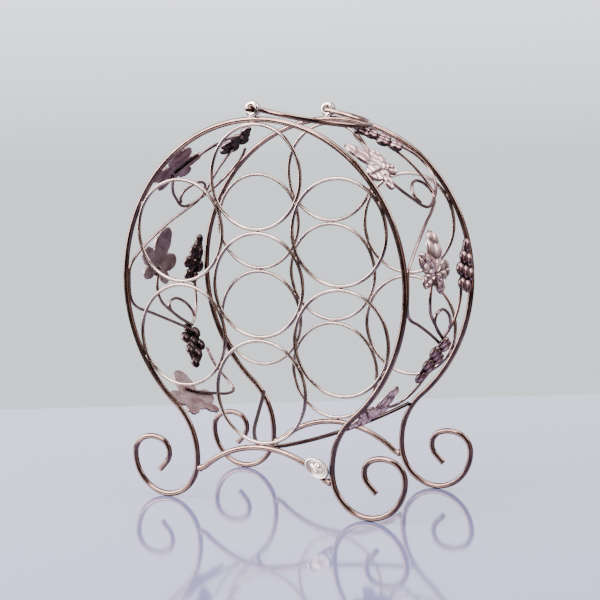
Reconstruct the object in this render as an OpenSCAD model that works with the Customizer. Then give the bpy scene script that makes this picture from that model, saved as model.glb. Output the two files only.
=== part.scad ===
/* [Barrel] */
// Height of the barrel's centre above the floor
centre_h = 212.5; // [212:0.5:216]
// Distance between the planes of the two end loops
depth = 140; // [130:1:160]
// Diameter of the end loops', feet's and arches' wire
frame_wire = 5.5; // [5.5:0.1:6]

/* [Bottle rings] */
// Distance between the centres of neighbouring rings
ring_pitch = 101; // [101:0.1:101]
// Diameter of the rings' wire
ring_wire = 3.5; // [3:0.1:4]

/* [Scroll feet] */
// How far below the horizontal the big loop turns into a leg, in degrees
leave_angle = 50; // [46:1:53]
// Distance of each foot scroll's centre from the middle
scroll_x = 113; // [110:1:116]
// Radius of the scroll's outer turn
scroll_r = 37.5; // [36:0.5:37.5]
// Radius where the outer turn tightens, on its far side
scroll_side_r = 18; // [17:0.5:19]
// Radius over the top of the inner turn
scroll_top_r = 30; // [28:0.5:32]
// Radius of the inner turn
scroll_in_r = 14; // [13:0.5:15]
// Angle at which the inner turn runs into its straight end
scroll_end_angle = 225; // [215:5:235]
// Length of the straight end
scroll_tail = 11; // [5:0.5:12]

/* [Foot arches] */
// Radius of the arch under the bottom ring
arch_r = 104; // [100:1:110]
// Radius of the flare where an arch meets a leg
flare_r = 14; // [12:1:18]
// Distance of an arch's end from the middle
arch_end_x = 74.4; // [74:0.1:75]

/* [Handle] */
// Height of the hinge eyes above the barrel's centre
eye_up = 163.5; // [163:0.5:164]
// Outside diameter of a hinge eye
eye_d = 15; // [14:0.5:16]
// Width of a hinge eye
eye_w = 7; // [5:0.5:7.5]
// Diameter of the handle's wire
handle_wire = 5; // [4.5:0.1:5]
// Radial play of the handle's ends in the eyes
handle_play = 0.08; // [0.03:0.01:0.1]
// Radius of the handle's bow
bow_r = 61; // [58:1:61]
// Straight length between the hinge and the bow
arm_len = 18; // [16:1:24]
// How far the folded handle lies below the horizontal, in degrees
fold_angle = 13; // [8:1:13]
// How far the handle's ends stand out of the end loops' planes
end_out = 10; // [6:1:12]

/* [Vines] */
// Diameter of the vine wires
vine_wire = 3; // [2.5:0.1:3]
// Diameter of the two stays under the barrel
stay_wire = 4; // [3:0.1:4.5]
// Diameter of one domed grape
grape_d = 11; // [10:0.1:11]
// Height of a grape above its back plate
grape_h = 3.6; // [2.5:0.1:4]
// Length from a leaf's stem point to its tip
leaf_len = 41; // [36:1:42]
// Thickness of a leaf's edge
leaf_t = 1.6; // [1.2:0.1:2]
// Height of the bulge on each leaf lobe
leaf_puff = 2.2; // [1:0.1:2.4]

/* [Hidden] */

front_y = -depth / 2;
back_y = depth / 2;
// How far neighbouring rings, and the outer rings and the big loop, run into each other
touch = 0.02;
ring_r = ring_pitch / 2 + touch - ring_wire / 2;
loop_r = ring_pitch + ring_r + ring_wire / 2 + frame_wire / 2 - touch;
scroll_z = -centre_h + frame_wire / 2 + scroll_r;
eye_bore_r = handle_wire / 2 + handle_play;
bottom_touch = ring_pitch + ring_r + ring_wire / 2;

// The big loop ends at leave_dir * loop_r, and a reverse bend that starts there
// runs into the scroll's outer turn without a kink.
leave_dir = [cos(leave_angle), -sin(leave_angle)];
scroll_c = [scroll_x, scroll_z];
to_leave = loop_r * leave_dir - scroll_c;
leg_r = (scroll_r * scroll_r - to_leave * to_leave) / (2 * (to_leave * leave_dir + scroll_r));
leg_c = (loop_r + leg_r) * leave_dir;
leg_end_angle = 180 + atan2(leg_c[1] - scroll_c[1], leg_c[0] - scroll_c[0]);

// The scroll's far side, its top and its inner turn follow each other as arcs, and
// they change over at these angles.
side_end_angle = 70;
top_end_angle = 110;

// Foot arch: a top arc and a flare on each side. arch_z is the height of the top arc's centre.
arch_z = -bottom_touch - frame_wire / 2 - arch_r;
arch_half_angle = asin(arch_end_x / (arch_r + flare_r));

// How far the outer columns of rings stand from the middle, in ring pitches
ring_side = sqrt(3) / 2;

// Paths of the vine wires over the barrel. Each point is [degrees from the top,
// millimetres from the middle, positive towards the back].
outer_scroll_path = [[35, 51], [40, 61], [46, 63], [52, 58], [57, 46], [61, 29], [63.2, 14],
    [62.6, 2], [60, -9], [56, -23], [49, -37]];
inner_scroll_path = [[35, 28], [41, 33], [46, 35], [52, 37], [58, 38]];
top_stem_path = [[27, 17], [25.2, 8], [26.5, -2], [30, -10], [34.5, -17], [41, -26], [48, -36]];
main_vine_path = [[114, 28], [111, 12], [107, -12], [103, -38], [100.5, -56], [97, -64.5],
    [90, -65], [84, -62], [78, -44], [73, -24], [68.5, -4], [65.9, 10], [63.6, 21], [61.7, 29],
    [59.2, 34], [56.4, 34], [54, 29], [52.7, 20], [53.2, 10], [54.8, 2], [57, -3], [59.5, -3],
    [61.4, 1]];
leaf_stem_path = [[87, -14], [91, -18.5], [95.5, -19.5], [100.3, -15], [106, 4], [111, 25]];
grape_stem_path = [[111, 25], [108, 34], [103.5, 42], [97, 46], [92, 46]];
small_curl_path = [[111, 25], [109.3, 17], [107, 7], [103.6, -3], [100.6, -2], [99.6, 10], [101.8, 24],
    [105, 32], [108, 34]];
foot_vine_path = [[121, 34], [129, 31], [136, 32], [141.3, 28], [142.3, 13], [140.5, -6], [138, -26],
    [135, -38]];
stay_path = [[146.5, 68], [151, 47], [157, 17], [165, -22], [173, -52], [178.5, -67]];

// Where leaves and grapes sit, as [degrees from the top, millimetres from the
// middle, turn in degrees]
upper_leaf_place = [47.5, -35, -32];
middle_leaf_place = [86.5, -15, 14];
lower_leaf_place = [142, -38, 10];
upper_grapes_place = [30.5, 24, 24];
middle_grapes_place = [85.5, 52, -18];
lower_grapes_place = [119, 17, 150];

// How finely leaves, wires and round pieces are cut
leaf_sectors = 40;
leaf_rings = 5;
frame_sides = 12;
vine_sides = 8;
vine_steps = 3;
facets = 48;

// Points along an arc in the X-Z plane, without its last point
function arc_path(c, r, a0, a1, steps) =
    [for (i = [0 : steps - 1])
        let (a = a0 + (a1 - a0) * i / steps)
        [c[0] + r * cos(a), 0, c[1] + r * sin(a)]];

// A path in the X-Z plane that starts on the middle plane, with its mirror image before it
function both_sides(half) = concat(
    [for (i = [len(half) - 1 : -1 : 1]) [-half[i][0], half[i][1], half[i][2]]],
    half
);

// From the top of the big loop round to the cut end of the right foot's scroll
function half_loop() =
    let (
        side_c = [scroll_x + scroll_r - scroll_side_r, scroll_z],
        side_a = side_end_angle,
        top_a = top_end_angle,
        end_a = scroll_end_angle,
        top_c = side_c - (scroll_top_r - scroll_side_r) * [cos(side_a), sin(side_a)],
        in_c = top_c + (scroll_top_r - scroll_in_r) * [cos(top_a), sin(top_a)],
        tail = in_c + scroll_in_r * [cos(end_a), sin(end_a)],
        cut = tail + scroll_tail * [-sin(end_a), cos(end_a)]
    )
    concat(
        arc_path([0, 0], loop_r, 90, -leave_angle, 34),
        arc_path(leg_c, leg_r, 180 - leave_angle, leg_end_angle, 8),
        arc_path(scroll_c, scroll_r, leg_end_angle, 360, 17),
        arc_path(side_c, scroll_side_r, 0, side_a, 5),
        arc_path(top_c, scroll_top_r, side_a, top_a, 4),
        arc_path(in_c, scroll_in_r, top_a, end_a, 9),
        [[tail[0], 0, tail[1]], [cut[0], 0, cut[1]]]
    );

// From the top of a foot arch to its end on the right leg
function half_arch() =
    let (
        flare_c = [0, arch_z] + (arch_r + flare_r) * [sin(arch_half_angle), cos(arch_half_angle)]
    )
    concat(
        arc_path([0, arch_z], arch_r, 90, 90 - arch_half_angle, 10),
        arc_path(flare_c, flare_r, 270 - arch_half_angle, 270, 5),
        [[flare_c[0], 0, flare_c[1] - flare_r]]
    );

// One end frame: the big loop, its two legs and their scroll feet, bent from one wire
module end_loop(y) {
    path = both_sides(half_loop());
    color("#5a3f38")
        translate([0, y, centre_h])
            wire(path, [for (p = path) [0, 1, 0]], frame_wire, frame_sides);
}

// One bottle ring
module bottle_ring(across, up, y) {
    color("#6b4a42")
        translate([across * ring_pitch, y, centre_h + up * ring_pitch])
            rotate([90, 0, 0])
                rotate_extrude($fn = facets)
                    translate([ring_r, 0])
                        circle(d = ring_wire, $fn = facets);
}

// The arch that ties two legs together under the bottom ring
module foot_arch(y) {
    path = both_sides(half_arch());
    color("#5a3f38")
        translate([0, y, centre_h])
            wire(path, [for (p = path) [0, 1, 0]], frame_wire, frame_sides);
}

// The small oval plate on the front arch, with a raised rim and a plain boss
module badge() {
    badge_l = 26;
    badge_w = 17;
    badge_t = 3;
    rim = 2;
    badge_angle = 34;
    above_wire = 5.6;
    level_turn = -10;
    color("#c99f92")
        translate([0, front_y - frame_wire / 2, centre_h + arch_z])
            rotate([0, badge_angle, 0])
                translate([0, 0, arch_r + above_wire])
                    rotate([90, level_turn, 0]) {
                        difference() {
                            linear_extrude(badge_t)
                                oval(badge_l, badge_w);
                            translate([0, 0, badge_t - 1])
                                linear_extrude(2)
                                    oval(badge_l - 2 * rim, badge_w - 2 * rim);
                        }
                        cylinder(d = 8, h = badge_t, $fn = facets);
                    }
}

// An oval outline
module oval(l, w) {
    polygon([for (a = [0 : 7.5 : 352.5]) [l / 2 * cos(a), w / 2 * sin(a)]]);
}

// A hinge eye, rolled from thick wire, with a round hole along Y
module hinge_eye(y) {
    color("#8a6a60")
        translate([0, y, centre_h + eye_up])
            rotate([90, 0, 0])
                rotate_extrude($fn = facets)
                    eye_profile();
}

// Half of the eye's section: flat in the hole, round outside
module eye_profile() {
    eye_wall = eye_d / 2 - eye_bore_r;
    corner = 1.5;
    translate([eye_bore_r, -eye_w / 2])
        square([eye_wall - corner, eye_w]);
    translate([eye_bore_r, -eye_w / 2 + corner])
        square([eye_wall, eye_w - 2 * corner]);
    for (side = [-1, 1])
        translate([eye_d / 2 - corner, side * (eye_w / 2 - corner)])
            circle(r = corner, $fn = facets);
}

// The carrying handle: a bow with two bent-out ends that turn in the eyes
module handle() {
    color("#5a3f38")
        translate([0, 0, centre_h + eye_up])
            rotate([0, fold_angle, 0]) {
                translate([arm_len, 0, 0])
                    rotate([0, 0, -90])
                        flat_arc(bow_r, 180);
                half_handle();
                mirror([0, 1, 0])
                    half_handle();
            }
}

// A stretch of bent wire in the X-Y plane, starting on the X axis
module flat_arc(r, angle) {
    rotate_extrude(angle = angle, $fn = facets)
        translate([r, 0])
            circle(d = handle_wire, $fn = facets);
}

// One arm of the handle with its bend and its end in the eye
module half_handle() {
    bend_r = 5;
    end_y = back_y + end_out;
    translate([bend_r, bow_r, 0])
        rotate([0, 90, 0])
            cylinder(d = handle_wire, h = arm_len - bend_r, $fn = facets);
    translate([bend_r, bow_r + bend_r, 0])
        rotate([0, 0, 180])
            flat_arc(bend_r, 90);
    translate([0, end_y, 0])
        rotate([90, 0, 0])
            cylinder(d = handle_wire, h = end_y - bow_r - bend_r, $fn = facets);
}

// A point on the barrel: a in degrees from the top, r from the barrel's axis
function on_barrel(a, y, r) = [r * sin(a), y, r * cos(a)];

// The point at share t of the way from point i to the next on a smooth curve through points p
function curve_point(p, i, t) =
    let (
        n = len(p) - 1,
        p0 = i > 0 ? p[i - 1] : 2 * p[0] - p[1],
        p1 = p[i],
        p2 = p[i + 1],
        p3 = i + 2 <= n ? p[i + 2] : 2 * p[n] - p[n - 1]
    )
    0.5 * (2 * p1 + (p2 - p0) * t + (2 * p0 - 5 * p1 + 4 * p2 - p3) * t * t
        + (3 * p1 - p0 - 3 * p2 + p3) * t * t * t);

// All the points of that curve, with its last point
function curve(p) = concat(
    [for (i = [0 : len(p) - 2], s = [0 : vine_steps - 1]) curve_point(p, i, s / vine_steps)],
    [p[len(p) - 1]]
);

// The direction of a vector
function unit(v) = v / norm(v);

// The ring of points around a wire at place i of the path q, where out is the
// direction that stands away from the bend
function wire_ring(q, out, i, d, k) =
    let (
        last = len(q) - 1,
        along = unit(q[min(i + 1, last)] - q[max(i - 1, 0)]),
        side = unit(cross(along, out)),
        up = cross(side, along)
    )
    [for (s = [0 : k - 1])
        let (a = s * 360 / k)
        q[i] + d / 2 * (cos(a) * side + sin(a) * up)];

// A round wire of diameter d along the path q, with k sides
module wire(q, outs, d, k) {
    n = len(q);
    points = [for (i = [0 : n - 1]) each wire_ring(q, outs[i], i, d, k)];
    walls = [for (i = [0 : n - 2], s = [0 : k - 1])
        [i * k + s, i * k + (s + 1) % k, (i + 1) * k + (s + 1) % k, (i + 1) * k + s]];
    start_cap = [for (s = [0 : k - 1]) k - 1 - s];
    end_cap = [for (s = [0 : k - 1]) (n - 1) * k + s];
    polyhedron(points, concat([start_cap], walls, [end_cap]), convexity = 10);
}

// A wire bent along a path over the barrel
module vine(path) {
    q = curve(path);
    color("#5a3f38")
        translate([0, 0, centre_h])
            wire([for (p = q) on_barrel(p[0], p[1], loop_r)], [for (p = q) on_barrel(p[0], 0, 1)],
                vine_wire, vine_sides);
}

// Lobes on each side of a leaf, as [direction from the tip in degrees, share of the
// leaf's length, half width in degrees]
leaf_lobes = [[0, 1, 34], [68, 0.78, 30], [122, 0.6, 30]];
// How much shorter a lobe is at its half width, and the shortest reach between lobes,
// as shares of the leaf's length
lobe_fall = 0.45;
leaf_waist = 0.25;

// Outline of a leaf: distance from the stem point at angle a from the tip
function leaf_edge(a) =
    let (b = a > 180 ? 360 - a : a)
    leaf_len * max([leaf_waist, for (l = leaf_lobes) l[1] * (1 - lobe_fall * pow((b - l[0]) / l[2], 2))]);

// Height of the leaf's bulged front at share s of the way to the edge
function leaf_bulge(a, s) = leaf_puff * leaf_edge(a) / leaf_len * sin(180 * s);

// A point of a leaf, laid on the barrel
function leaf_point(place, a, s, lift) =
    let (
        r = s * leaf_edge(a),
        up_barrel = r * cos(a + place[2]),
        along_y = r * sin(a + place[2])
    )
    on_barrel(place[0] - up_barrel / loop_r * 180 / PI, place[1] + along_y, loop_r + lift);

// One embossed leaf, laid on the barrel
module leaf(place) {
    n = leaf_sectors;
    m = leaf_rings;
    back_lift = 0.2;
    front_lift = back_lift + leaf_t;
    front = [for (j = [1 : m], i = [0 : n - 1])
        leaf_point(place, i * 360 / n, j / m, front_lift + leaf_bulge(i * 360 / n, j / m))];
    back = [for (j = [1 : m], i = [0 : n - 1])
        leaf_point(place, i * 360 / n, j / m, back_lift)];
    centres = [leaf_point(place, 0, 0, front_lift), leaf_point(place, 0, 0, back_lift)];
    b = m * n;
    c = 2 * m * n;
    front_faces = [for (j = [0 : m - 2], i = [0 : n - 1])
        let (i2 = (i + 1) % n)
        each [[j * n + i, (j + 1) * n + i, (j + 1) * n + i2], [j * n + i, (j + 1) * n + i2, j * n + i2]]];
    back_faces = [for (j = [0 : m - 2], i = [0 : n - 1])
        let (i2 = (i + 1) % n)
        each [[b + j * n + i, b + (j + 1) * n + i2, b + (j + 1) * n + i],
            [b + j * n + i, b + j * n + i2, b + (j + 1) * n + i2]]];
    hubs = [for (i = [0 : n - 1])
        let (i2 = (i + 1) % n)
        each [[c, i, i2], [c + 1, b + i2, b + i]]];
    edge = (m - 1) * n;
    rim = [for (i = [0 : n - 1])
        let (i2 = (i + 1) % n)
        each [[edge + i, b + edge + i, b + edge + i2], [edge + i, b + edge + i2, edge + i2]]];
    color("#b08378")
        translate([0, 0, centre_h])
            polyhedron(concat(front, back, centres), concat(front_faces, back_faces, hubs, rim),
                convexity = 10);
}

// One grape: a shallow dome
module grape() {
    dome_r = (grape_d * grape_d / 4 + grape_h * grape_h) / (2 * grape_h);
    rotate_extrude($fn = facets)
        intersection() {
            translate([0, grape_h - dome_r])
                circle(r = dome_r, $fn = facets);
            square([grape_d / 2, grape_h]);
        }
}

// A bunch of domed grapes, each clear of the next, on a thin oval back plate
module grapes(place) {
    rows = [1, 2, 3, 2];
    row_step = 13;
    grape_step = grape_d + 0.2;
    plate_l = 46;
    plate_w = 28;
    plate_t = 1.4;
    sunk = 0.2;
    lift = 1.2;
    color("#a77a70")
        translate([0, 0, centre_h])
            rotate([0, place[0], 0])
                translate([0, place[1], loop_r + lift])
                    rotate([0, 0, place[2]]) {
                        linear_extrude(plate_t)
                            oval(plate_l, plate_w);
                        for (i = [0 : len(rows) - 1], j = [0 : rows[i] - 1])
                            translate([
                                (i - (len(rows) - 1) / 2) * row_step,
                                (j - (rows[i] - 1) / 2) * grape_step,
                                plate_t - sunk
                            ])
                                grape();
                    }
}

// The wire that carries the middle bunch of grapes, and the small curl beside it
module grape_stem() {
    vine(grape_stem_path);
    vine(small_curl_path);
}

// The stay under the barrel, from the back loop to the top of the front arch
module stay() {
    q = curve(stay_path);
    color("#4a332e")
        translate([0, 0, centre_h])
            wire([for (p = q) on_barrel(p[0], p[1], loop_r)], [for (p = q) on_barrel(p[0], 0, 1)],
                stay_wire, vine_sides);
}

// The same piece on the left-hand side
module left() {
    mirror([1, 0, 0])
        children();
}

end_loop(front_y);  // front_loop
end_loop(back_y);  // back_loop
bottle_ring(0, 0, front_y);  // front_ring_centre
bottle_ring(0, 1, front_y);  // front_ring_top
bottle_ring(0, -1, front_y);  // front_ring_bottom
bottle_ring(-ring_side, 0.5, front_y);  // front_ring_upper_left
bottle_ring(ring_side, 0.5, front_y);  // front_ring_upper_right
bottle_ring(-ring_side, -0.5, front_y);  // front_ring_lower_left
bottle_ring(ring_side, -0.5, front_y);  // front_ring_lower_right
bottle_ring(0, 0, back_y);  // back_ring_centre
bottle_ring(0, 1, back_y);  // back_ring_top
bottle_ring(0, -1, back_y);  // back_ring_bottom
bottle_ring(-ring_side, 0.5, back_y);  // back_ring_upper_left
bottle_ring(ring_side, 0.5, back_y);  // back_ring_upper_right
bottle_ring(-ring_side, -0.5, back_y);  // back_ring_lower_left
bottle_ring(ring_side, -0.5, back_y);  // back_ring_lower_right
foot_arch(front_y);  // front_arch
foot_arch(back_y);  // back_arch
badge();
hinge_eye(front_y);  // front_eye
hinge_eye(back_y);  // back_eye
handle();
vine(outer_scroll_path);  // right_outer_scroll
vine(inner_scroll_path);  // right_inner_scroll
vine(top_stem_path);  // right_top_stem
vine(main_vine_path);  // right_main_vine
vine(leaf_stem_path);  // right_leaf_stem
grape_stem();  // right_grape_stem
vine(foot_vine_path);  // right_foot_vine
stay();  // right_stay
leaf(upper_leaf_place);  // right_upper_leaf
leaf(middle_leaf_place);  // right_middle_leaf
leaf(lower_leaf_place);  // right_lower_leaf
grapes(upper_grapes_place);  // right_upper_grapes
grapes(middle_grapes_place);  // right_middle_grapes
grapes(lower_grapes_place);  // right_lower_grapes
left() vine(outer_scroll_path);  // left_outer_scroll
left() vine(inner_scroll_path);  // left_inner_scroll
left() vine(top_stem_path);  // left_top_stem
left() vine(main_vine_path);  // left_main_vine
left() vine(leaf_stem_path);  // left_leaf_stem
left() grape_stem();  // left_grape_stem
left() vine(foot_vine_path);  // left_foot_vine
left() stay();  // left_stay
left() leaf(upper_leaf_place);  // left_upper_leaf
left() leaf(middle_leaf_place);  // left_middle_leaf
left() leaf(lower_leaf_place);  // left_lower_leaf
left() grapes(upper_grapes_place);  // left_upper_grapes
left() grapes(middle_grapes_place);  // left_middle_grapes
left() grapes(lower_grapes_place);  // left_lower_grapes
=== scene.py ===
"""A wine rack bent from bronze-lacquered wire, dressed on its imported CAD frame.

Metres, +Z up. The bottles' necks point to -Y, and the right side is +X.
"""

import math

import bmesh
import bpy
from mathutils import Matrix, Vector, noise


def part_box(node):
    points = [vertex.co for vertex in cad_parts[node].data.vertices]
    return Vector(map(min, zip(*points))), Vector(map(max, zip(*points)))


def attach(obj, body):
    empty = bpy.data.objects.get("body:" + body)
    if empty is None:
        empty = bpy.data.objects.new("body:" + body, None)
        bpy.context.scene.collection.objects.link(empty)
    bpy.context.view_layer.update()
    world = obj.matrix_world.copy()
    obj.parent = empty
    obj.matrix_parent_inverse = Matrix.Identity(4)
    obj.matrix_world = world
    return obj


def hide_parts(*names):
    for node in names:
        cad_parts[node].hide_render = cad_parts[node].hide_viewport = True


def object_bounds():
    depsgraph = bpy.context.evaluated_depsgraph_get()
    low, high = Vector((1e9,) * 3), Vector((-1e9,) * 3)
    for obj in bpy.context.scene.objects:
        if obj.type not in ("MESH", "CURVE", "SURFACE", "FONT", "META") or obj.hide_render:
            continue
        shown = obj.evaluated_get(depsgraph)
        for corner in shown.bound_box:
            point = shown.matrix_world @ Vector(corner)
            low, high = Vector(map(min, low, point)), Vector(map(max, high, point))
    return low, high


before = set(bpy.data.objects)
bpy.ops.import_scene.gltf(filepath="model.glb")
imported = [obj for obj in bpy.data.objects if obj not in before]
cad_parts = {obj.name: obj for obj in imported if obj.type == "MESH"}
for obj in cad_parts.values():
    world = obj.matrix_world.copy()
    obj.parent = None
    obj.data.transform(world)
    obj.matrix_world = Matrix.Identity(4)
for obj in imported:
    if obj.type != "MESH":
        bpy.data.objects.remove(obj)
cad_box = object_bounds()

MM = 0.001

# ---- sizes read from the frame ----

ring_low, ring_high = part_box("front_ring_centre")
top_low, top_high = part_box("front_ring_top")
loop_low, loop_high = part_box("front_loop")
eye_low, eye_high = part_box("front_eye")
RING_WIRE = ring_high[1] - ring_low[1]
FRAME_WIRE = loop_high[1] - loop_low[1]
CENTRE_H = (ring_low[2] + ring_high[2]) / 2
RING_PITCH = (top_low[2] + top_high[2]) / 2 - CENTRE_H
RING_R = (ring_high[0] - ring_low[0] - RING_WIRE) / 2
LOOP_R = loop_high[2] - CENTRE_H - FRAME_WIRE / 2
END_Y = -(loop_low[1] + loop_high[1]) / 2
EYE_H = (eye_low[2] + eye_high[2]) / 2
EYE_R = (eye_high[2] - eye_low[2]) / 2
EYE_W = eye_high[1] - eye_low[1]

# ---- design sizes, as in the CAD source ----

VINE_WIRE = 3.0 * MM
STAY_WIRE = 4.0 * MM
HANDLE_WIRE = 5.0 * MM
LEAVE_ANGLE = 50
SCROLL_X = 113 * MM
SCROLL_R = 37.5 * MM
SCROLL_SIDE_R = 18 * MM
SCROLL_TOP_R = 30 * MM
SCROLL_IN_R = 14 * MM
SIDE_END = 70
TOP_END = 110
SCROLL_END = 225
SCROLL_TAIL = 11 * MM
ARCH_R = 104 * MM
FLARE_R = 14 * MM
ARCH_END_X = 74.4 * MM
ARCH_Z = -(RING_PITCH + RING_R + RING_WIRE / 2 + FRAME_WIRE / 2 + ARCH_R)
BOW_R = 61 * MM
ARM_LEN = 18 * MM
BEND_R = 5 * MM
END_OUT = 10 * MM
FOLD_ANGLE = 13
HANDLE_PLAY = 0.08 * MM
LEAF_LEN = 41 * MM
LEAF_T = 1.6 * MM
LEAF_PUFF = 2.2 * MM
LEAF_LIFT = 0.2 * MM
LEAF_DOME = 1.0 * MM
GRAPE_D = 11 * MM
GRAPE_H = 3.6 * MM
GRAPE_ROW = 13 * MM
GRAPE_STEP = 11.2 * MM
GRAPE_ROWS = (1, 2, 3, 2)
PLATE_T = 1.4 * MM
PLATE_LIFT = 1.2 * MM
PLATE_HALF_L = 21 * MM
PLATE_HALF_W = 10.5 * MM
BADGE_HALF_L = 13 * MM
BADGE_HALF_W = 8.5 * MM
BADGE_T = 3 * MM
BADGE_ANGLE = 34
BADGE_TURN = 24
BADGE_UP = 5.6 * MM

# Weld beads: half their thickness and half their length
RING_BEAD = (1.5 * MM, 3.4 * MM)
LOOP_BEAD = (1.7 * MM, 4.2 * MM)
ARCH_BEAD = (2.6 * MM, 3.8 * MM)
EYE_BEAD = (2.3 * MM, 5.2 * MM)

# Lobes on each side of a leaf: degrees from the tip, share of its length, half width in degrees
LOBES = ((0, 1.0, 34), (68, 0.78, 30), (122, 0.6, 30))
LOBE_FALL = 0.45
LEAF_WAIST = 0.25

# Vine paths over the barrel: degrees from the top, millimetres towards the back
VINES = {
    "outer_scroll": [(35, 51), (40, 61), (46, 63), (52, 58), (57, 46), (61, 29), (63.2, 14),
                     (62.6, 2), (60, -9), (56, -23), (49, -37)],
    "inner_scroll": [(35, 28), (41, 33), (46, 35), (52, 37), (58, 38)],
    "top_stem": [(27, 17), (25.2, 8), (26.5, -2), (30, -10), (34.5, -17), (41, -26), (48, -36)],
    "main_vine": [(114, 28), (111, 12), (107, -12), (103, -38), (100.5, -56), (97, -64.5),
                  (90, -65), (84, -62), (78, -44), (73, -24), (68.5, -4), (65.9, 10), (63.6, 21),
                  (61.7, 29), (59.2, 34), (56.4, 34), (54, 29), (52.7, 20), (53.2, 10), (54.8, 2),
                  (57, -3), (59.5, -3), (61.4, 1)],
    "leaf_stem": [(87, -14), (91, -18.5), (95.5, -19.5), (100.3, -15), (106, 4), (111, 25)],
    "grape_stem": [(111, 25), (108, 34), (103.5, 42), (97, 46), (92, 46)],
    "small_curl": [(111, 25), (109.3, 17), (107, 7), (103.6, -3), (100.6, -2), (99.6, 10),
                   (101.8, 24), (105, 32), (108, 34)],
    "foot_vine": [(121, 34), (129, 31), (136, 32), (141.3, 28), (142.3, 13), (140.5, -6),
                  (138, -26), (135, -38)],
}
STAY = [(146.5, 68), (151, 47), (157, 17), (165, -22), (173, -52), (178.5, -67)]

# Leaves and bunches: degrees from the top, millimetres towards the back, turn
LEAVES = {
    "upper_leaf": (47.5, -35, -32),
    "middle_leaf": (86.5, -15, 14),
    "lower_leaf": (142, -38, 10),
}
BUNCHES = {
    "upper_grapes": (30.5, 24, 24),
    "middle_grapes": (85.5, 52, -18),
    "lower_grapes": (119, 17, 150),
}

# ---- shapes ----

def add_mesh(name, bm, material, body="rack"):
    """Makes a smooth-shaded piece of a bmesh, riding on a CAD body."""
    mesh = bpy.data.meshes.new(name)
    bmesh.ops.recalc_face_normals(bm, faces=bm.faces)
    bm.to_mesh(mesh)
    bm.free()
    mesh.polygons.foreach_set("use_smooth", [True] * len(mesh.polygons))
    obj = bpy.data.objects.new(name, mesh)
    bpy.context.scene.collection.objects.link(obj)
    mesh.materials.append(material)
    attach(obj, body)
    return obj


def stations_of(path, closed):
    """Where a wire's rings stand: point on the path, share of the radius, push along the wire.

    An open wire gets two more rings at each cut end, which round its edge.
    """
    middle = [(i, 1.0, 0.0) for i in range(len(path))]
    if closed:
        return middle
    last = len(path) - 1
    start = [(0, 0.82, -1.0), (0, 0.94, -0.7)]
    end = [(last, 0.94, 0.7), (last, 0.82, 1.0)]
    return start + middle + end


def sweep(bm, path, outs, radius, sides=20, closed=False):
    """Adds a round wire along path to bm. Its ends are cut blunt, with a small rounded edge."""
    n = len(path)
    end_push = 0.12 * radius
    rings = []
    for i, grow, push in stations_of(path, closed):
        before = path[i - 1] if closed or i > 0 else path[0]
        after = path[(i + 1) % n] if closed or i < n - 1 else path[-1]
        along = (after - before).normalized()
        side = along.cross(outs[i]).normalized()
        up = side.cross(along)
        here = path[i] + along * push * end_push
        angles = [2 * math.pi * s / sides for s in range(sides)]
        spots = [here + radius * grow * (math.cos(a) * side + math.sin(a) * up) for a in angles]
        rings.append([bm.verts.new(spot) for spot in spots])
    join_rings(bm, rings, closed)
    if not closed:
        bm.faces.new(list(reversed(rings[0])))
        bm.faces.new(rings[-1])


def join_rings(bm, rings, closed):
    """Adds the faces between rings of points, and from the last back to the first if closed."""
    pairs = list(zip(rings, rings[1:]))
    if closed:
        pairs.append((rings[-1], rings[0]))
    for a, b in pairs:
        sides = len(a)
        for s in range(sides):
            t = (s + 1) % sides
            bm.faces.new((a[s], a[t], b[t], b[s]))


def closed_disc(bm, rings, sectors, place):
    """Adds a disc with a front and a back that meet at its edge.

    place(front, degrees, share of the way out) gives a point and how high it stands, 0 to 1.
    """
    # How high each point stands goes into the "high" attribute, and the materials paint shade where it is
    # low.
    high = bm.verts.layers.float.new("high")
    layers = []
    for front in (True, False):
        grid = []
        for j in range(rings + 1):
            row = []
            for i in range(sectors if j > 0 else 1):
                spot, height = place(front, i * 360 / sectors, j / rings)
                v = bm.verts.new(spot)
                v[high] = height
                row.append(v)
            grid.append(row)
        layers.append(grid)
    for grid in layers:
        for i in range(sectors):
            bm.faces.new((grid[0][0], grid[1][i], grid[1][(i + 1) % sectors]))
        join_rings(bm, grid[1:], False)
    join_rings(bm, [layers[0][rings], layers[1][rings]], False)


def arc(cx, cz, r, a0, a1, step=2.5):
    """Points along an arc in the X-Z plane, without its last point, in degrees."""
    n = max(2, round(abs(a1 - a0) / step))
    angles = [math.radians(a0 + (a1 - a0) * i / n) for i in range(n)]
    return [(cx + r * math.cos(a), cz + r * math.sin(a)) for a in angles]


def both_sides(half, y):
    """A half path and its mirror image as one, in the plane y, round the barrel's centre."""
    path = [(-x, z) for x, z in reversed(half[1:])] + half
    return [Vector((x, y, CENTRE_H + z)) for x, z in path]


def heading(a):
    """The unit vector at an angle in the X-Z plane."""
    return Vector((math.cos(math.radians(a)), math.sin(math.radians(a))))


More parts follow.
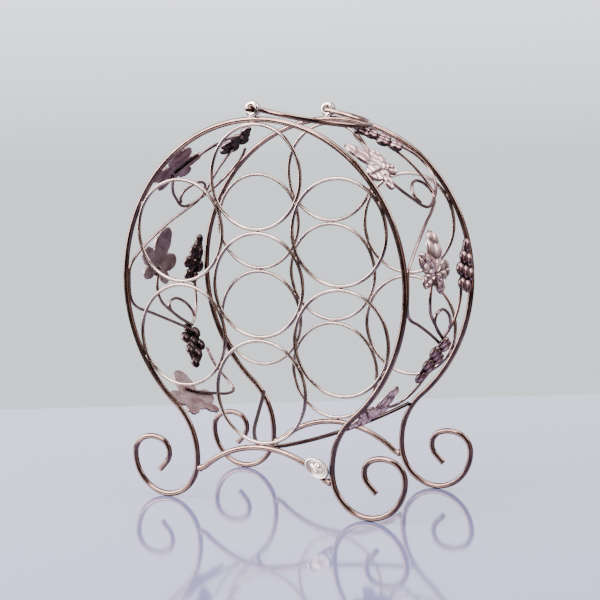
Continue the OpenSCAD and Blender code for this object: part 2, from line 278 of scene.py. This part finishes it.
def half_loop():
    """From the top of an end loop round to the cut end of the right foot's scroll."""
    lead = heading(-LEAVE_ANGLE)
    scroll = Vector((SCROLL_X, SCROLL_R + FRAME_WIRE / 2 - CENTRE_H))
    to_leave = LOOP_R * lead - scroll
    leg_r = (SCROLL_R**2 - to_leave.dot(to_leave)) / (2 * (to_leave.dot(lead) + SCROLL_R))
    leg = (LOOP_R + leg_r) * lead
    leg_end = 180 + math.degrees(math.atan2(leg.y - scroll.y, leg.x - scroll.x))
    side = scroll + Vector((SCROLL_R - SCROLL_SIDE_R, 0))
    top = side - (SCROLL_TOP_R - SCROLL_SIDE_R) * heading(SIDE_END)
    inner = top + (SCROLL_TOP_R - SCROLL_IN_R) * heading(TOP_END)
    tail = inner + SCROLL_IN_R * heading(SCROLL_END)
    along = heading(SCROLL_END + 90)
    return (
        arc(0, 0, LOOP_R, 90, -LEAVE_ANGLE, 1.5)
        + arc(leg.x, leg.y, leg_r, 180 - LEAVE_ANGLE, leg_end)
        + arc(scroll.x, scroll.y, SCROLL_R, leg_end, 360, 3.5)
        + arc(side.x, side.y, SCROLL_SIDE_R, 0, SIDE_END, 5)
        + arc(top.x, top.y, SCROLL_TOP_R, SIDE_END, TOP_END, 4)
        + arc(inner.x, inner.y, SCROLL_IN_R, TOP_END, SCROLL_END, 6)
        + [tuple(tail + along * SCROLL_TAIL * i / 4) for i in range(5)]
    )


def half_arch():
    """From the top of a foot arch to its end on the right leg."""
    half_angle = math.degrees(math.asin(ARCH_END_X / (ARCH_R + FLARE_R)))
    past_upright = 4
    flare_z = (ARCH_R + FLARE_R) * math.cos(math.radians(half_angle)) + ARCH_Z
    return (
        arc(0, ARCH_Z, ARCH_R, 90, 90 - half_angle, 2)
        + arc(ARCH_END_X, flare_z, FLARE_R, 270 - half_angle, 270 + past_upright, 5)
    )


def on_barrel(a, y, r):
    """A point over the barrel: a degrees from the top, r from its axis."""
    return Vector((r * math.sin(math.radians(a)), y, CENTRE_H + r * math.cos(math.radians(a))))


def outward(a):
    """The direction away from the barrel's axis, a degrees from the top."""
    return Vector((math.sin(math.radians(a)), 0, math.cos(math.radians(a))))


def curve(points, steps=10):
    """A smooth curve through points."""
    out = []
    last = len(points) - 1
    v = [Vector(p) for p in points]
    for i in range(last):
        p0 = v[i - 1] if i > 0 else 2 * v[0] - v[1]
        p3 = v[i + 2] if i + 2 <= last else 2 * v[last] - v[last - 1]
        p1, p2 = v[i], v[i + 1]
        for s in range(steps):
            t = s / steps
            out.append(0.5 * (2 * p1 + (p2 - p0) * t + (2 * p0 - 5 * p1 + 4 * p2 - p3) * t * t
                              + (3 * p1 - p0 - 3 * p2 + p3) * t**3))
    out.append(v[last])
    return out


def barrel_wire(bm, points, diameter):
    """Adds a wire that follows a path over the barrel."""
    q = curve(points)
    path = [on_barrel(p.x, p.y * MM, LOOP_R) for p in q]
    outs = [outward(p.x) for p in q]
    sweep(bm, path, outs, diameter / 2, 14)


def mirrored(bm, side):
    """Turns a right-hand shape into its left-hand mirror image where side is left."""
    if side == "left":
        bmesh.ops.scale(bm, vec=(-1, 1, 1), verts=bm.verts)


# ---- materials ----

def nodes_of(name):
    """A new material, its node tree and its shader."""
    mat = bpy.data.materials.new(name)
    mat.use_nodes = True
    tree = mat.node_tree
    shader = tree.nodes["Principled BSDF"]
    return mat, tree, shader


def noise_node(tree, scale, detail=4.0, rough=0.55):
    """Noise in the piece's own coordinates, in metres."""
    coords = tree.nodes.new("ShaderNodeTexCoord")
    tex = tree.nodes.new("ShaderNodeTexNoise")
    tex.inputs["Scale"].default_value = scale
    tex.inputs["Detail"].default_value = detail
    tex.inputs["Roughness"].default_value = rough
    tree.links.new(coords.outputs["Object"], tex.inputs["Vector"])
    return tex.outputs["Fac"]


def ramp_node(tree, source, stops):
    """A colour ramp over source."""
    ramp = tree.nodes.new("ShaderNodeValToRGB")
    ramp.color_ramp.elements[0].position = stops[0][0]
    ramp.color_ramp.elements[0].color = (*stops[0][1], 1)
    ramp.color_ramp.elements[1].position = stops[-1][0]
    ramp.color_ramp.elements[1].color = (*stops[-1][1], 1)
    for place, colour in stops[1:-1]:
        ramp.color_ramp.elements.new(place).color = (*colour, 1)
    tree.links.new(source, ramp.inputs["Fac"])
    return ramp.outputs["Color"]


def range_node(tree, source, low, high, to_low, to_high):
    """Maps a value from one range to another."""
    node = tree.nodes.new("ShaderNodeMapRange")
    node.inputs["From Min"].default_value = low
    node.inputs["From Max"].default_value = high
    node.inputs["To Min"].default_value = to_low
    node.inputs["To Max"].default_value = to_high
    tree.links.new(source, node.inputs["Value"])
    return node.outputs["Result"]


def mix_node(tree, factor, a, b):
    """Mixes two colours by a factor."""
    node = tree.nodes.new("ShaderNodeMix")
    node.data_type = "RGBA"
    tree.links.new(factor, node.inputs["Factor"])
    tree.links.new(a, node.inputs["A"])
    tree.links.new(b, node.inputs["B"])
    return node.outputs["Result"]


def bump_node(tree, shader, height, strength, distance):
    """Fine relief on the lacquer."""
    bump = tree.nodes.new("ShaderNodeBump")
    bump.inputs["Strength"].default_value = strength
    bump.inputs["Distance"].default_value = distance
    tree.links.new(height, bump.inputs["Height"])
    tree.links.new(bump.outputs["Normal"], shader.inputs["Normal"])


def paint_crease_shade(tree, mottle, colour, dark, mid, attribute_name):
    """Paints shade: darkens colour where a mesh attribute is low, as in creases, broken up by noise
    patches.
    """
    attribute = tree.nodes.new("ShaderNodeAttribute")
    attribute.attribute_name = attribute_name
    shade_and_patches = tree.nodes.new("ShaderNodeMath")
    shade_and_patches.operation = "MULTIPLY_ADD"
    tree.links.new(noise_node(tree, 420, 3.0), shade_and_patches.inputs[0])
    shade_and_patches.inputs[1].default_value = 0.35
    tree.links.new(attribute.outputs["Fac"], shade_and_patches.inputs[2])
    shade = range_node(tree, shade_and_patches.outputs[0], 0.25, 0.95, 0.0, 1.0)
    # Shaded copies of the dark and mid colours: the painted shade in the creases.
    shade_dark = tuple(c * 0.12 for c in dark)
    shade_mid = tuple(c * 0.22 for c in mid)
    crease_shade_colour = ramp_node(tree, mottle, [(0.3, shade_dark), (0.7, shade_mid)])
    return mix_node(tree, shade, crease_shade_colour, colour)


def lacquered(name, dark, mid, bright, rough=0.18, coat=0.35, shade_attribute=None):
    """Bronze or copper lacquer over metal, mottled.

    The last argument, if given, names a mesh attribute, 0 in creases and 1 on high spots. Shade is painted
    into the colour where it is low, so the high spots stay lighter.
    """
    mat, tree, shader = nodes_of(name)
    mottle = noise_node(tree, 90, 2.0, 0.4)
    colour = ramp_node(tree, mottle, [(0.3, dark), (0.52, mid), (0.72, bright)])
    if shade_attribute:
        colour = paint_crease_shade(tree, mottle, colour, dark, mid, shade_attribute)
    tree.links.new(colour, shader.inputs["Base Color"])
    shader.inputs["Metallic"].default_value = 1.0
    patches = noise_node(tree, 160, 5.0)
    roughness = range_node(tree, patches, 0.3, 0.7, rough - 0.04, rough + 0.06)
    tree.links.new(roughness, shader.inputs["Roughness"])
    shader.inputs["Specular Tint"].default_value = (0.35, 0.22, 0.2, 1)
    shader.inputs["Coat Weight"].default_value = coat
    shader.inputs["Coat Roughness"].default_value = 0.12
    bump_node(tree, shader, noise_node(tree, 500, 2.0), 0.03, 0.0001)
    return mat


WIRE_BRONZE = lacquered("wire_bronze", (0.09, 0.049, 0.04), (0.125, 0.071, 0.058), (0.17, 0.106, 0.088),
                        coat=0.5)
# A darker copy of the wire bronze for the stay: painted shade, as it lies under the barrel.
STAY_SHADED_BRONZE = lacquered("stay_shaded_bronze", (0.03, 0.018, 0.016), (0.045, 0.028, 0.025), (0.07, 0.045, 0.04),
                        coat=0.2)
RING_BRONZE = lacquered("ring_bronze", (0.17, 0.12, 0.102), (0.225, 0.165, 0.145), (0.30, 0.235, 0.21))
VINE_BRONZE = lacquered("vine_bronze", (0.095, 0.056, 0.052), (0.135, 0.084, 0.079), (0.19, 0.128, 0.12))
# Leaves, grapes and the badge get painted shade in their creases and hollows, from the "high" attribute.
LEAF_COPPER = lacquered("leaf_copper", (0.42, 0.27, 0.27), (0.60, 0.43, 0.43), (0.74, 0.58, 0.58),
                        rough=0.36, coat=0.0, shade_attribute="high")
GRAPE_COPPER = lacquered("grape_copper", (0.13, 0.072, 0.08), (0.20, 0.12, 0.128), (0.30, 0.20, 0.205),
                         rough=0.27, coat=0.2, shade_attribute="high")
BADGE_COPPER = lacquered("badge_copper", (0.55, 0.45, 0.42), (0.70, 0.61, 0.57), (0.82, 0.74, 0.70),
                         rough=0.38, coat=0.1, shade_attribute="high")
EYE_BRONZE = lacquered("eye_bronze", (0.34, 0.28, 0.255), (0.48, 0.41, 0.38), (0.62, 0.55, 0.52))
WELD_BRONZE = lacquered("weld_bronze", (0.07, 0.044, 0.039), (0.10, 0.065, 0.058), (0.15, 0.1, 0.09),
                        rough=0.4)


# ---- end frames, arches and rings ----

def build_end_frames():
    """The two bent end loops with their scroll feet, and the arches under them."""
    for end, y in (("front", -END_Y), ("back", END_Y)):
        for what, half in (("loop", half_loop()), ("arch", half_arch())):
            path = both_sides(half, y)
            bm = bmesh.new()
            sweep(bm, path, [Vector((0, 1, 0))] * len(path), FRAME_WIRE / 2, 24)
            name = f"{end}_{what}"
            obj = add_mesh(name + "_wire", bm, WIRE_BRONZE)
            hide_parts(name)


RING_PLACES = {
    "centre": (0, 0),
    "top": (0, 1),
    "bottom": (0, -1),
    "upper_left": (-math.sqrt(3) / 2, 0.5),
    "upper_right": (math.sqrt(3) / 2, 0.5),
    "lower_left": (-math.sqrt(3) / 2, -0.5),
    "lower_right": (math.sqrt(3) / 2, -0.5),
}


def build_rings():
    """Seven bottle rings in each end frame."""
    turns = [math.radians(a) for a in range(0, 360, 3)]
    for end, y in (("front", -END_Y), ("back", END_Y)):
        for place, (across, up) in RING_PLACES.items():
            cx = across * RING_PITCH
            cz = CENTRE_H + up * RING_PITCH
            path = [Vector((cx + RING_R * math.cos(a), y, cz + RING_R * math.sin(a))) for a in turns]
            bm = bmesh.new()
            sweep(bm, path, [Vector((0, 1, 0))] * len(path), RING_WIRE / 2, 18, closed=True)
            name = f"{end}_ring_{place}"
            obj = add_mesh(name + "_wire", bm, RING_BRONZE)
            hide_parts(name)


def weld_bead(bm, spot, along, size):
    """Adds a small uneven bead of weld metal at spot, longest along the given direction."""
    thick, length = size
    made = bmesh.ops.create_icosphere(bm, subdivisions=3, radius=1.0)
    turn = along.to_track_quat("X", "Z").to_matrix()
    for v in made["verts"]:
        lump = 1 + 0.12 * noise.noise(v.co * 2.3 + spot * 900)
        v.co = spot + turn @ Vector((v.co.x * length, v.co.y * thick, v.co.z * thick)) * lump


def build_welds():
    """Weld beads where rings meet each other, the loops and the arches."""
    along_y = Vector((0, 1, 0))
    spots = [Vector((across, 0, up)) * RING_PITCH for across, up in RING_PLACES.values()]
    for end, y in (("front", -END_Y), ("back", END_Y)):
        bm = bmesh.new()
        centre = Vector((0, y, CENTRE_H))
        for i, here in enumerate(spots):
            for other in spots[i + 1:]:
                if (other - here).length < RING_PITCH * 1.01:
                    across = along_y.cross(other - here).normalized()
                    weld_bead(bm, (here + other) / 2 + centre, across, RING_BEAD)
            if here.length > 0:
                across = along_y.cross(here).normalized()
                weld_bead(bm, here.normalized() * (LOOP_R - FRAME_WIRE / 2) + centre, across, LOOP_BEAD)
        arch = both_sides(half_arch(), y)
        for tip in (arch[2], arch[-3]):
            weld_bead(bm, tip, Vector((0, 0, 1)), ARCH_BEAD)
        add_mesh(f"{end}_welds", bm, WELD_BRONZE)


# ---- handle ----

def squared(c, amount=0.62):
    """Pushes a cosine or sine outwards, so that a circle becomes a square with round corners."""
    return math.copysign(abs(c) ** amount, c)


def build_eyes():
    """Hinge eyes rolled from heavy wire, with rounded edges and a closing seam."""
    bore = HANDLE_WIRE / 2 + HANDLE_PLAY
    mid = (bore + EYE_R) / 2
    half = (EYE_R - bore) / 2
    seam_at = 250
    seam_deep = 0.35 * MM
    for end, y in (("front", -END_Y), ("back", END_Y)):
        bm = bmesh.new()
        rows = []
        for degrees in range(0, 360, 5):
            a = math.radians(degrees)
            seam = seam_deep * math.exp(-((degrees - seam_at) / 5) ** 2)
            row = []
            for s in range(24):
                b = 2 * math.pi * s / 24
                r = max(mid + squared(math.cos(b)) * (half - seam), bore)
                across = squared(math.sin(b)) * (EYE_W / 2 - seam)
                row.append(bm.verts.new((r * math.cos(a), y + across, EYE_H + r * math.sin(a))))
            rows.append(row)
        join_rings(bm, rows, True)
        foot = Vector((0, y, CENTRE_H + LOOP_R + FRAME_WIRE / 2 - 0.4 * MM))
        weld_bead(bm, foot, Vector((1, 0, 0)), EYE_BEAD)
        obj = add_mesh(f"{end}_eye_rolled", bm, EYE_BRONZE)
        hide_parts(f"{end}_eye")


def half_handle():
    """One half of the handle, laid flat: from its end in the back eye to the tip of the bow."""
    bend_y = BOW_R + BEND_R
    straight = [(0, END_Y + END_OUT), (0, END_Y + 4 * MM), (0, END_Y), (0, bend_y + 1 * MM)]
    bend = [(BEND_R + BEND_R * math.cos(math.radians(a)), bend_y + BEND_R * math.sin(math.radians(a)))
            for a in range(180, 271, 10)]
    arm = [(BEND_R + (ARM_LEN - BEND_R) * i / 4, BOW_R) for i in (1, 2, 3)]
    bow = [(ARM_LEN + BOW_R * math.sin(math.radians(a)), BOW_R * math.cos(math.radians(a)))
           for a in range(0, 90, 3)]
    return straight + bend + arm + bow


def build_handle():
    """The folded bow with its two bent-out ends."""
    half = half_handle()
    flat = half + [(ARM_LEN + BOW_R, 0)] + [(u, -y) for u, y in reversed(half)]
    fold = Matrix.Rotation(math.radians(FOLD_ANGLE), 3, "Y")
    hinge = Vector((0, 0, EYE_H))
    path = [hinge + fold @ Vector((u, y, 0)) for u, y in flat]
    bm = bmesh.new()
    sweep(bm, path, [fold @ Vector((0, 0, 1))] * len(path), HANDLE_WIRE / 2, 24)
    obj = add_mesh("handle_bow", bm, WIRE_BRONZE, "handle")
    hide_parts("handle")


# ---- vines, leaves and grapes ----

def lobe_of(a):
    """The lobe at a degrees from the tip: its length, the angle from its own vein, and its reach."""
    b = abs((a + 180) % 360 - 180)
    reach, turn, share = max((share * (1 - LOBE_FALL * ((b - turn) / half) ** 2), turn, share)
                             for turn, share, half in LOBES)
    return share * LEAF_LEN, b - turn, max(LEAF_WAIST, reach) * LEAF_LEN


def cell_height(length, r, off):
    """Relief of the puffed cells at radius r and off degrees from a lobe's vein, 0 to 1."""
    across = abs(r * math.sin(math.radians(off)))
    along = r * math.cos(math.radians(off)) - 0.3 * across
    spacing = 0.34 * length
    side_vein = abs(math.sin(math.pi * along / spacing))
    main_vein = min(1.0, across / (2.2 * MM))
    return side_vein**0.5 * math.sqrt(main_vein)


def leaf_edge(a):
    """Distance from the stem point to the edge of a leaf, notched between its cells."""
    length, off, reach = lobe_of(a)
    notch = 1 - cell_height(length, reach, off) if abs(off) > 6 else 0
    return reach * (1 - 0.09 * notch)


def leaf_height(a, s):
    """Relief of a leaf at a degrees from the tip and share s of the way to the edge, 0 to 1."""
    length, off, reach = lobe_of(a)
    gap = min(1.0, max(0.15, (reach / LEAF_LEN - 0.34) / 0.22) + (1 - s) * 0.3)
    edge = math.sqrt(min(1.0, (1 - s) / 0.14))
    return cell_height(length, s * leaf_edge(a), off) * gap * (0.25 + 0.75 * edge) * min(1.0, s / 0.1)


def build_leaf(side, name, place):
    """One embossed leaf laid on the barrel, with veins and puffed cells between them."""
    down_at, back_at, turned_by = place

    def leaf_point(front, a, s):
        relief = leaf_height(a, s)
        turned = min(1.0, max(0.0, (s - 0.94) / 0.06))
        roll = 0.45 * LEAF_T * (1 - math.sqrt(1 - turned**2))
        lift = LEAF_LIFT + roll
        if front:
            lift = LEAF_LIFT + LEAF_T - roll + LEAF_PUFF * relief
        r = s * leaf_edge(a)
        turn = math.radians(a + turned_by)
        down = down_at - math.degrees(r * math.cos(turn) / LOOP_R)
        dome = LEAF_DOME * (1 - (r / LEAF_LEN) ** 2)
        spot = on_barrel(down, back_at * MM + r * math.sin(turn), LOOP_R + lift + dome)
        # Low cells, and the whole back at 0.3, are painted darker as shade.
        return spot, relief if front else 0.3

    bm = bmesh.new()
    closed_disc(bm, 34, 180, leaf_point)
    mirrored(bm, side)
    obj = add_mesh(f"{side}_{name}_embossed", bm, LEAF_COPPER)
    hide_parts(f"{side}_{name}")


def add_grape(bm, high, seed, spot, to_world):
    """Adds one grape, a little different from the next, where spot is on the back plate."""
    made = bmesh.ops.create_icosphere(bm, subdivisions=4, radius=1.0)
    tilt = Matrix.Rotation(0.2 * noise.noise(seed), 3, "Z") @ Matrix.Rotation(-0.1, 3, "Y")
    size = 1 + 0.05 * noise.noise(seed * 1.7)
    for v in made["verts"]:
        unit = v.co.copy()
        body = Vector((unit.x * 0.6 * GRAPE_D, unit.y * 0.5 * GRAPE_D, unit.z * GRAPE_H))
        body *= size * (1 + 0.02 * noise.noise(unit * 2 + seed))
        v.co = to_world(spot + tilt @ body)
        # Painted shade: each grape grows darker towards the plate, under and between the grapes.
        v[high] = min(1.0, max(0.0, 0.2 + 0.9 * unit.z))


def build_bunch(side, name, place):
    """A bunch of plump grapes pressed together on a small back plate."""
    down_at, back_at, turned_by = place
    turn = (Matrix.Rotation(math.radians(down_at), 3, "Y")
            @ Matrix.Rotation(math.radians(turned_by), 3, "Z"))
    middle = on_barrel(down_at, back_at * MM, LOOP_R + PLATE_LIFT + PLATE_T)

    def to_world(local):
        return middle + turn @ local

    bm = bmesh.new()
    high = bm.verts.layers.float.new("high")
    plate = bmesh.ops.create_cone(bm, cap_ends=True, segments=64, radius1=1, radius2=1, depth=1)
    for v in plate["verts"]:
        v.co = to_world(Vector((v.co.x * PLATE_HALF_L, v.co.y * PLATE_HALF_W, (v.co.z - 0.5) * PLATE_T)))
        # The plate under the grapes is painted dark, as shade.
        v[high] = 0.1
    for i, count in enumerate(GRAPE_ROWS):
        for j in range(count):
            along = (i - (len(GRAPE_ROWS) - 1) / 2) * GRAPE_ROW
            across = (j - (count - 1) / 2) * GRAPE_STEP
            seed = Vector((i * 3.1, j * 5.7, len(name)))
            add_grape(bm, high, seed, Vector((along, across, 0)), to_world)
    mirrored(bm, side)
    obj = add_mesh(f"{side}_{name}_bunch", bm, GRAPE_COPPER)
    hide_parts(f"{side}_{name}")


def build_barrel_piece(side, name, paths, diameter, material):
    """One piece of wire, or of wires welded together, that follows paths over the barrel."""
    bm = bmesh.new()
    for path in paths:
        barrel_wire(bm, path, diameter)
    mirrored(bm, side)
    obj = add_mesh(f"{side}_{name}_wire", bm, material)
    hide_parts(f"{side}_{name}")


def build_vines(side):
    """The vine wires, and the stay under the barrel."""
    for name in ("outer_scroll", "inner_scroll", "top_stem", "main_vine", "leaf_stem", "foot_vine"):
        build_barrel_piece(side, name, [VINES[name]], VINE_WIRE, VINE_BRONZE)
    stem_and_curl = [VINES["grape_stem"], VINES["small_curl"]]
    build_barrel_piece(side, "grape_stem", stem_and_curl, VINE_WIRE, VINE_BRONZE)
    build_barrel_piece(side, "stay", [STAY], STAY_WIRE, STAY_SHADED_BRONZE)


def badge_height(degrees, s):
    """Height of the badge at share s of the way to its edge, as a share of its thickness."""
    field = 0.45
    if s > 0.8:
        return field + 0.55 * math.sqrt(max(0.0, 1 - ((s - 0.9) / 0.1) ** 2))
    if 0.64 < s < 0.74:
        return field + 0.25 * math.sin(math.pi * (s - 0.64) / 0.1)
    double = math.radians(2 * degrees)
    petal = 0.56 * abs(math.cos(double)) ** 0.5
    if s < petal:
        return field + 0.5 * math.sqrt(1 - (s / petal) ** 2) * min(1.0, abs(math.sin(double)) + 0.5)
    return field


def build_badge():
    """The oval badge: a raised rim with a fine ring inside it, and a plain four-petal boss."""
    turn = Matrix.Rotation(math.radians(BADGE_TURN), 3, "Y")
    up_arch = Matrix.Rotation(math.radians(BADGE_ANGLE), 3, "Y") @ Vector((0, 0, ARCH_R + BADGE_UP))
    middle = Vector((0, -END_Y - FRAME_WIRE / 2, CENTRE_H + ARCH_Z)) + up_arch

    def badge_point(front, degrees, s):
        a = math.radians(degrees)
        # The sunk field stands lower than the rim and the petals, so shade is painted into it; the back is
        # painted fully shaded.
        height = badge_height(degrees, s) if front else 0.0
        local = Vector((s * math.cos(a) * BADGE_HALF_L, -height * BADGE_T, s * math.sin(a) * BADGE_HALF_W))
        return middle + turn @ local, height

    bm = bmesh.new()
    closed_disc(bm, 40, 96, badge_point)
    obj = add_mesh("badge_relief", bm, BADGE_COPPER)
    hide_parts("badge")


# ---- stage ----

TABLE_HALF = 0.5
CAMERA_AZIMUTH = 31.4


def build_table():
    """A plain pale table top that mirrors softly, square to the camera."""
    bpy.ops.mesh.primitive_plane_add(size=2 * TABLE_HALF, location=(0, 0, cad_box[0][2]),
                                     rotation=(0, 0, math.radians(CAMERA_AZIMUTH)))
    table = bpy.context.object
    table.name = "table_top"
    mat, tree, shader = nodes_of("table_pale")
    shader.inputs["Base Color"].default_value = (0.10, 0.10, 0.19, 1)
    shader.inputs["Roughness"].default_value = 0.07
    shader.inputs["IOR"].default_value = 2.3
    table.data.materials.append(mat)


def area_light(name, place, target, size, power, colour=(1, 1, 1)):
    """A soft square lamp at place that shines at target."""
    data = bpy.data.lights.new(name, "AREA")
    data.size = size
    data.energy = power
    data.color = colour
    lamp = bpy.data.objects.new(name, data)
    lamp.location = place
    lamp.rotation_euler = (Vector(target) - Vector(place)).to_track_quat("-Z", "Y").to_euler()
    bpy.context.scene.collection.objects.link(lamp)


def build_lights():
    """Soft lamps from the left, above and the right."""
    middle = (0, 0, CENTRE_H)
    area_light("key_light", (-0.9, -1.2, 1.2), middle, 1.4, 165, (1.0, 0.94, 0.91))
    area_light("side_light", (-1.7, -0.8, 0.7), middle, 1.2, 95, (1.0, 0.97, 0.95))
    area_light("top_light", (-0.1, -0.1, 2.0), middle, 1.3, 75)
    area_light("right_light", (1.25, 0.5, 1.5), middle, 1.1, 50, (1.0, 0.95, 0.94))
    area_light("warm_light", (1.9, -0.7, 0.4), middle, 1.2, 8, (1.0, 0.68, 0.6))


def build_room():
    """A plain room, darker in front of the rack and pale behind it, and paler upwards."""
    azimuth = math.radians(CAMERA_AZIMUTH)
    world = bpy.data.worlds.new("room")
    bpy.context.scene.world = world
    world.use_nodes = True
    tree = world.node_tree
    background = tree.nodes["Background"]
    background.inputs["Color"].default_value = (0.91, 0.935, 1.0, 1)
    coords = tree.nodes.new("ShaderNodeTexCoord")
    behind = tree.nodes.new("ShaderNodeVectorMath")
    behind.operation = "DOT_PRODUCT"
    behind.inputs[1].default_value = (-math.sin(azimuth), math.cos(azimuth), 0)
    tree.links.new(coords.outputs["Generated"], behind.inputs[0])
    parts = tree.nodes.new("ShaderNodeSeparateXYZ")
    tree.links.new(coords.outputs["Generated"], parts.inputs["Vector"])
    both = tree.nodes.new("ShaderNodeMath")
    both.operation = "MULTIPLY"
    tree.links.new(range_node(tree, behind.outputs["Value"], 0.0, 0.9, 0.15, 2.4), both.inputs[0])
    tree.links.new(range_node(tree, parts.outputs["Z"], -0.02, 0.18, 0.5, 1.1), both.inputs[1])
    tree.links.new(both.outputs[0], background.inputs["Strength"])


def build_camera():
    """The camera, in front of the rack, to its right and a little above its middle."""
    azimuth = math.radians(CAMERA_AZIMUTH)
    elevation = math.radians(6.2)
    roll = math.radians(-1.5)
    distance = 1.457
    target = Vector((-0.004, 0, CENTRE_H - 0.018))
    back = Vector((math.sin(azimuth) * math.cos(elevation), -math.cos(azimuth) * math.cos(elevation),
                   math.sin(elevation)))
    right = (-back).cross(Vector((0, 0, 1))).normalized()
    up = back.cross(right)
    tilted_right = math.cos(roll) * right + math.sin(roll) * up
    tilted_up = -math.sin(roll) * right + math.cos(roll) * up
    data = bpy.data.cameras.new("camera")
    data.sensor_width = 36
    data.lens = 89.5
    data.shift_x = 0.0108
    data.shift_y = -0.0058
    camera = bpy.data.objects.new("camera", data)
    camera.matrix_world = Matrix.Translation(target + back * distance) @ Matrix(
        (tilted_right, tilted_up, back)).transposed().to_4x4()
    bpy.context.scene.collection.objects.link(camera)
    bpy.context.scene.camera = camera


build_end_frames()
build_rings()
build_welds()
build_eyes()
build_handle()
for hand in ("right", "left"):
    build_vines(hand)
    for leaf_name, leaf_place in LEAVES.items():
        build_leaf(hand, leaf_name, leaf_place)
    for bunch_name, bunch_place in BUNCHES.items():
        build_bunch(hand, bunch_name, bunch_place)
build_badge()
build_table()
build_lights()
build_room()
build_camera()
